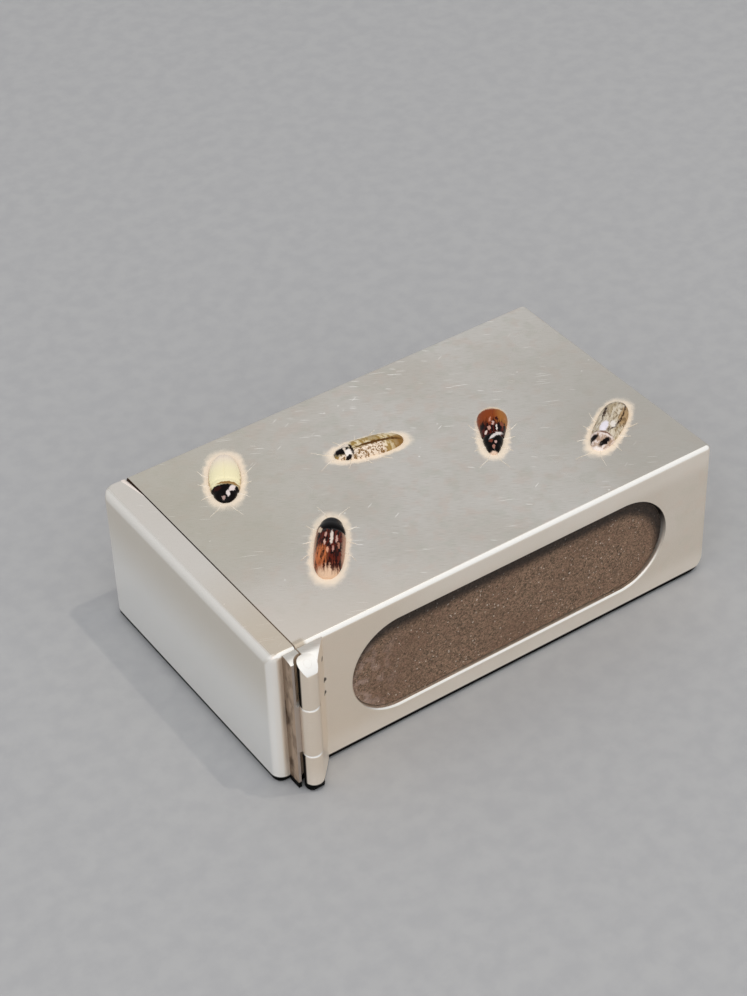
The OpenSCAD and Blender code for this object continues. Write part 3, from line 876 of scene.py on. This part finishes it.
def wire(points, radius):
    """A length of fine wire bent through some points and thinned at its end."""
    points = [Vector(point) * MM for point in points]
    clear_bench()
    bpy.ops.mesh.primitive_circle_add(
        vertices=6, radius=radius, fill_type="NGON", location=points[0],
        rotation=(points[1] - points[0]).to_track_quat("Z", "Y").to_euler())
    strand = settle(bpy.context.object, "wire")
    pick(strand, "FACE", lambda face: True)
    for last, point in zip(points, points[1:]):
        bpy.ops.mesh.extrude_region_move(TRANSFORM_OT_translate={"value": point - last})
    bpy.ops.transform.resize(value=(0.4, 0.4, 0.4), center_override=points[-1])
    return strand


def leg_marks(place):
    """Pale all over, with dull yellow patches."""
    pale = place.grain(0.8).rise(0.3, 0.7).blend(colour("#fff8ee"), colour("#e9dcc8"))
    return [(place.grain(5).rise(0.0, 0.1), pale, 0.1)]


leg_silver = silver_finish("leg_silver", leg_marks)
wire_r = 0.045 * MM
leg_roots = 0.62, 0.25, -0.1
leg_sweeps = 0.8, -0.5, -1.5
leg_out = 0.9
feeler_l = 2.6


def limbs(insect, outline):
    """Six legs and two feelers, bent at the knee, from under the edge of one body."""
    length, width, _ = insect["size"]
    rest = wire_r / MM * 0.3
    strands = []
    for side in (-1, 1):
        for root, sweep in zip(leg_roots, leg_sweeps):
            x, y = root * length / 2, side * width / 2 * girth(outline, root) * 0.9
            knee = x + sweep * 0.4, y + side * leg_out
            foot = x + sweep, y + side * leg_out * 1.7
            strands.append(wire([(x, y, rest), (*knee, rest), (*foot, rest)], wire_r))
        x, y = 0.93 * length / 2, side * width * 0.1
        bend = x + feeler_l * 0.5, y + side * feeler_l * 0.2
        end = x + feeler_l, y + side * feeler_l * 0.6
        strands.append(wire([(x, y, rest), (*bend, rest), (*end, rest)], wire_r * 0.8))
    clear_bench()
    for strand in strands:
        strand.select_set(True)
    bpy.context.view_layer.objects.active = strands[0]
    bpy.ops.object.join()
    return strands[0]


def spot(body, u, v, half_l, half_w, turn=0):
    """A soft-edged oval mark on a body."""
    near = body.drawn_out((0, 0, math.radians(turn)), (half_l, half_w, 100), (u, v, 0))
    return near.size().rise(1.25, 0.75)


def enamel_finish(name, insect, paint):
    """Fired enamel, worn to a soft gloss, painted in a body's own coordinates: along, across and up."""
    material, shader, place = new_finish(name)
    length, width, height = insect["size"]
    body = place.stirred(0.3, 0.4).drawn_out(
        (0, 0, math.radians(insect["heading"])), (length / 2, width / 2, height),
        (*insect["place"], case_hi.z / MM))
    tone = paint(body, body.along("X"), body.along("Y"))
    waves = place.grain(0.6) * 0.04
    bump = place.node("ShaderNodeBump", {}, {"Strength": 0.5, "Distance": MM, "Height": waves})
    place.feed(shader, {"Base Color": tone, "Roughness": 0.14 + place.grain(0.8) * 0.12, "Normal": bump})
    shader.inputs["IOR"].default_value = 1.2
    return material


def ring(body, u, v, half_l, half_w, breadth):
    """A thin closed line round an oval on a body."""
    near = body.drawn_out((0, 0, 0), (half_l, half_w, 100), (u, v, 0))
    return abs(near.size() - 1).rise(breadth, breadth * 0.3)


def cream_paint(body, u, v):
    """Ivory wing cases with a thin brown rim, pinker at the tail, and a black head with pinkish-white
    painted highlights and a grey-pink mark.
    """
    tone = u.rise(-0.9, 0.1).blend(colour("#ffeedd"), colour("#fff5cb"))
    rim = (v * v + u * u).rise(0.84, 0.95)
    tone = (rim * 0.7).blend(tone, colour("#b8946a"))
    tone = u.rise(0.48, 0.53).blend(tone, colour("#0a0404"))
    tone = spot(body, 0.46, 0.2, 0.045, 0.7).blend(tone, colour("#a07c4c"))
    tone = spot(body, 0.6, -0.45, 0.06, 0.24).blend(tone, colour("#2e0f0c"))
    # painted highlights: the two pinkish-white spots on the black head
    tone = spot(body, 0.62, 0.42, 0.075, 0.22, 20).blend(tone, colour("#f1e2dc"))
    tone = spot(body, 0.79, 0.18, 0.09, 0.1).blend(tone, colour("#e9dcd8"))
    return spot(body, 0.9, -0.1, 0.05, 0.1).blend(tone, colour("#b69a92"))


def red_paint(body, u, v):
    """Dark wing cases streaked with pale pink, rusty on one side, with a cream tail and a black cap."""
    streaks = body.drawn_out((0, 0, 0), (0.3, 0.12, 100)).grain(1)
    tone = streaks.rise(0.42, 0.56).blend(colour("#5e1f11"), colour("#120404"))
    rust = spot(body, -0.52, 0.55, 0.4, 0.5) * streaks.rise(0.66, 0.42)
    tone = rust.blend(tone, colour("#cb7445"))
    tone = ((u + streaks * 0.9).rise(-0.1, -0.35) * 0.5).blend(tone, colour("#8a3f26"))
    tone = (u + streaks * 0.6).rise(-0.38, -0.62).blend(tone, colour("#e9c4a4"))
    flanks = abs(v).rise(0.72, 0.92) * u.rise(-0.75, -0.4)
    tone = (flanks * 0.85).blend(tone, colour("#bd937c"))
    for at_u, at_v, half_l, half_w, tint in (
            (0.1, -0.14, 0.22, 0.1, "#ecdccf"), (0.06, -0.46, 0.13, 0.07, "#cfa497"),
            (0.2, 0.24, 0.08, 0.08, "#cda092"), (-0.05, 0.28, 0.1, 0.07, "#d8b0a0"),
            (-0.26, -0.28, 0.09, 0.07, "#c48f82"), (-0.3, 0.05, 0.09, 0.08, "#e2a283"),
            (-0.12, -0.62, 0.1, 0.08, "#a8705c"), (-0.42, -0.5, 0.14, 0.1, "#2c0c08")):
        tone = spot(body, at_u, at_v, half_l, half_w).blend(tone, colour(tint))
    tone = (u - v.rise(0.0, 0.8) * 0.2).rise(0.33, 0.39).blend(tone, colour("#040202"))
    return spot(body, 0.42, 0.66, 0.1, 0.15, -20).blend(tone, colour("#d8c2aa"))


def slim_paint(body, u, v):
    """Cream wings streaked with olive and tan, a netted near wing with a brown edge, a black-eyed head with
    a painted highlight.
    """
    streaks = body.drawn_out((0, 0, 0.15), (0.12, 0.6, 100)).grain(1)
    tone = streaks.rise(0.42, 0.6).blend(colour("#ecdcb8"), colour("#a98a4e"))
    tone = (spot(body, -0.15, -0.3, 0.16, 0.6) * 0.7).blend(tone, colour("#9c7f45"))
    tone = (u.rise(-0.4, -0.85) * v.rise(-0.3, 0.2)).blend(tone, colour("#936d38"))
    tone = spot(body, -0.2, 0.28, 0.7, 0.12).blend(tone, colour("#5f3f1a"))
    net = abs(body.drawn_out((0, 0, 0.3), (0.14, 0.3, 100)).grain(1, 2.0) - 0.5)
    near = net.rise(0.06, 0.015).blend(colour("#f3e0cb"), colour("#8d6a40"))
    tone = (v.rise(0.36, 0.44) * u.rise(-0.5, -0.3)).blend(tone, near)
    tone = (u.rise(0.52, 0.57) * v.rise(0.2, -0.1)).blend(tone, colour("#efe0d0"))
    tone = spot(body, 0.52, 0.2, 0.04, 0.5).blend(tone, colour("#20100b"))
    tone = spot(body, 0.78, 0.1, 0.2, 0.34, 15).blend(tone, colour("#0c0404"))
    # painted highlight: the near-white spot on the head
    tone = spot(body, 0.64, 0.5, 0.09, 0.28).blend(tone, colour("#fbf1e8"))
    tone = spot(body, 0.66, 0.72, 0.09, 0.1).blend(tone, colour("#140807"))
    return spot(body, 0.7, 0.1, 0.03, 0.24).blend(tone, colour("#e8d8c8"))


def dark_paint(body, u, v):
    """A cream tail, an amber band, maroon with salmon streaks, and a black head with a white slanting band
    and a pale tip as painted highlights.
    """
    amber = v.rise(0.0, 0.7).blend(colour("#8c4019"), colour("#a86c33"))
    tail = u.rise(-0.66, -0.76).blend(amber, colour("#f0dcc0"))
    streaks = body.drawn_out((0, 0, 0), (0.3, 0.14, 100)).grain(1)
    maroon = streaks.rise(0.42, 0.54).blend(colour("#57190f"), colour("#140504"))
    tone = (u + streaks * 0.9).rise(0.1, 0.4).blend(tail, maroon)
    tone = (streaks.rise(0.35, 0.28) * u.rise(0.3, 0.1) * 0.9).blend(tone, colour("#c98468"))
    for at_u, at_v, half_l, half_w, tint in (
            (0.04, 0.5, 0.2, 0.14, "#0c0404"), (0.06, 0.3, 0.12, 0.08, "#e8ddd4"),
            (-0.12, 0.72, 0.08, 0.14, "#8a4a34"), (-0.1, 0.0, 0.08, 0.1, "#d8b4a8"),
            (0.08, -0.3, 0.08, 0.14, "#c79a88"), (-0.26, -0.2, 0.1, 0.09, "#c98a70"),
            (0.2, -0.56, 0.06, 0.1, "#e6cfc4"), (-0.3, 0.3, 0.07, 0.12, "#3c120e")):
        tone = spot(body, at_u, at_v, half_l, half_w).blend(tone, colour(tint))
    tone = u.rise(0.28, 0.34).blend(tone, colour("#060303"))
    # painted highlight: the white slanting band across the head
    tone = spot(body, 0.34, 0.2, 0.065, 0.56, 16).blend(tone, colour("#e4dcd8"))
    tone = spot(body, 0.62, 0.2, 0.05, 0.09).blend(tone, colour("#c9a8a0"))
    tone = spot(body, 0.58, -0.2, 0.05, 0.16).blend(tone, colour("#7a3f30"))
    tone = spot(body, 0.78, 0.0, 0.06, 0.1).blend(tone, colour("#a8786a"))
    # painted highlight: the pale tip of the head
    return u.rise(0.9, 0.96).blend(tone, colour("#ebccb4"))


def pale_paint(body, u, v):
    """Clear grey-beige wings edged with brown, one flank painted tan as painted shade, a shield with
    lilac-white and pale painted highlights, and black eyes.
    """
    tone = body.grain(0.35, 3.0).rise(0.35, 0.65).blend(colour("#e2d6c2"), colour("#b7a586"))
    # painted shade: the tan flank on one side
    tone = (spot(body, -0.5, 0.8, 0.5, 0.3) * 0.9).blend(tone, colour("#b9976b"))
    veins = body.drawn_out((0, 0, 0.3), (0.45, 0.3, 100)).grain(1, 2.0)
    tone = (abs(veins - 0.5).rise(0.04, 0.01) * 0.7).blend(tone, colour("#6e5638"))
    beads = body.grain(0.16).rise(0.36, 0.5)
    tone = (spot(body, -0.28, -0.56, 0.42, 0.1, 20) * beads).blend(tone, colour("#38220f"))
    edge = ring(body, -0.3, 0.16, 0.66, 0.56, 0.15) * v.rise(0.1, 0.3)
    tone = (edge * beads).blend(tone, colour("#38220f"))
    # painted highlights: the lilac-white and pale spots on the shield
    tone = spot(body, 0.28, -0.12, 0.2, 0.28).blend(tone, colour("#f4eef6"))
    tone = spot(body, 0.12, 0.4, 0.12, 0.2).blend(tone, colour("#efe6dc"))
    head = body.grain(0.2, 2.0).rise(0.4, 0.6).blend(colour("#f2e2da"), colour("#b99c86"))
    tone = u.rise(0.48, 0.54).blend(tone, head)
    tone = spot(body, 0.49, 0.05, 0.03, 0.6).blend(tone, colour("#8a6a5c"))
    tone = spot(body, 0.72, -0.56, 0.11, 0.34, 8).blend(tone, colour("#0c0404"))
    tone = spot(body, 0.75, 0.34, 0.1, 0.32, 28).blend(tone, colour("#0c0404"))
    return u.rise(0.9, 0.97).blend(tone, colour("#fff4ee"))


insect_paint = {
    "cream_beetle": (cream_paint, "wing_cases", "enamel_cream", "enamel_black"),
    "red_beetle": (red_paint, "wing_cases", "enamel_red", "enamel_black"),
    "slim_fly": (slim_paint, "wings", "enamel_gold", "enamel_black"),
    "dark_beetle": (dark_paint, "wing_cases", "enamel_red", "enamel_black"),
    "pale_bug": (pale_paint, "wings", "enamel_pale", "enamel_pale"),
}
eye_u = 0.8
eye_out = 0.5
eye_l = 0.08
eye_w = 0.22
for kind, (paint, back, back_slot, head_slot) in insect_paint.items():
    insect = insects[kind]
    outline = outlines[kind]
    size = Vector(insect["size"]) * MM
    enamel = enamel_finish(f"{kind}_enamel", insect, paint)

    wings = dome("wings", size, outline, -tip, outline["neck"])
    part_wings(wings, size.z)
    set_down(wings, insect, f"enamel_{kind}_{back}")
    polish(wings)
    dress(wings, enamel, "case", back_slot, f"{kind}_{back}")

    head = dome("head", size, outline, outline["neck"], tip)
    for side in (-1, 1):
        reach = girth(outline, eye_u)
        clear_bench()
        bpy.ops.mesh.primitive_uv_sphere_add(
            segments=20, ring_count=10, radius=1,
            location=(eye_u * size.x / 2, side * eye_out * reach * size.y / 2, eye_out * reach * size.z),
            scale=(eye_l * size.x / 2, eye_w * reach * size.y / 2, eye_w * reach * size.z))
        carve(head, settle(bpy.context.object, "eye"), "UNION")
    set_down(head, insect, f"enamel_{kind}_head")
    polish(head)
    dress(head, enamel, "case", head_slot, f"{kind}_head")

    legs = set_down(limbs(insect, outline), insect, f"silver_{kind}_legs")
    polish(legs)
    dress(legs, leg_silver, "case", "silver")

# The floor, the light and the camera, which are not part of the object: a pale plain floor, wide soft panels
# in front and at the left, a small lamp almost overhead, and the camera at the photograph's angle.
view_turn = math.radians(-33.303)
view_tilt = math.radians(39.464)
view_roll = math.radians(-2.134)
view_distance = 304.53 * MM
view_centre = Vector((6.318, 17.21, 0)) * MM
view_lens = 85.146
back = Vector((math.sin(view_turn) * math.cos(view_tilt), -math.cos(view_turn) * math.cos(view_tilt),
               math.sin(view_tilt)))
bpy.ops.object.camera_add(location=view_centre + back * view_distance)
camera = bpy.context.object
camera.rotation_mode = "QUATERNION"
camera.rotation_quaternion = (Euler((math.pi / 2 - view_tilt, 0, view_turn)).to_quaternion()
                              @ Quaternion((0, 0, 1), view_roll))
camera.data.lens = view_lens
camera.data.clip_start = 0.01
bpy.context.scene.camera = camera

bpy.ops.mesh.primitive_plane_add(size=6, location=(0, 0, -0.02 * MM))
floor = bpy.context.object
floor.name = "floor"
floor_paint, floor_shader, floor_place = new_finish("floor_paint")
floor_mottle = floor_place.grain(2.5, 4.0).rise(0.3, 0.7).blend(colour("#b9b9b9"), colour("#b3b3b4"))
floor_place.feed(floor_shader, {"Base Color": floor_mottle, "Roughness": 0.8})
floor.data.materials.append(floor_paint)


def area_lamp(name, way, distance, size, watts, tint):
    """A square lamp that looks at the object from one direction."""
    way = Vector(way).normalized()
    bpy.ops.object.light_add(type="AREA", location=way * distance)
    lamp = bpy.context.object
    lamp.name = name
    lamp.rotation_mode = "QUATERNION"
    lamp.rotation_quaternion = way.to_track_quat("Z", "Y")
    lamp.data.size = size
    lamp.data.energy = watts
    lamp.data.color = tint


area_lamp("overhead_lamp", (0.237, -0.156, 1), 0.9, 0.02, 0.85, (1, 0.92, 0.8))
area_lamp("front_panel", (-0.1, -0.72, 0.68), 0.9, 1.4, 3.1, (1, 0.99, 0.975))
area_lamp("left_panel", (-0.7, -0.2, 0.65), 0.9, 1.2, 1.8, (0.94, 0.98, 1.04))

world = bpy.data.worlds.new("studio")
bpy.context.scene.world = world
world.use_nodes = True
world.node_tree.nodes["Background"].inputs["Color"].default_value = (0.53, 0.535, 0.55, 1)
bpy.context.scene.view_settings.view_transform = "Standard"
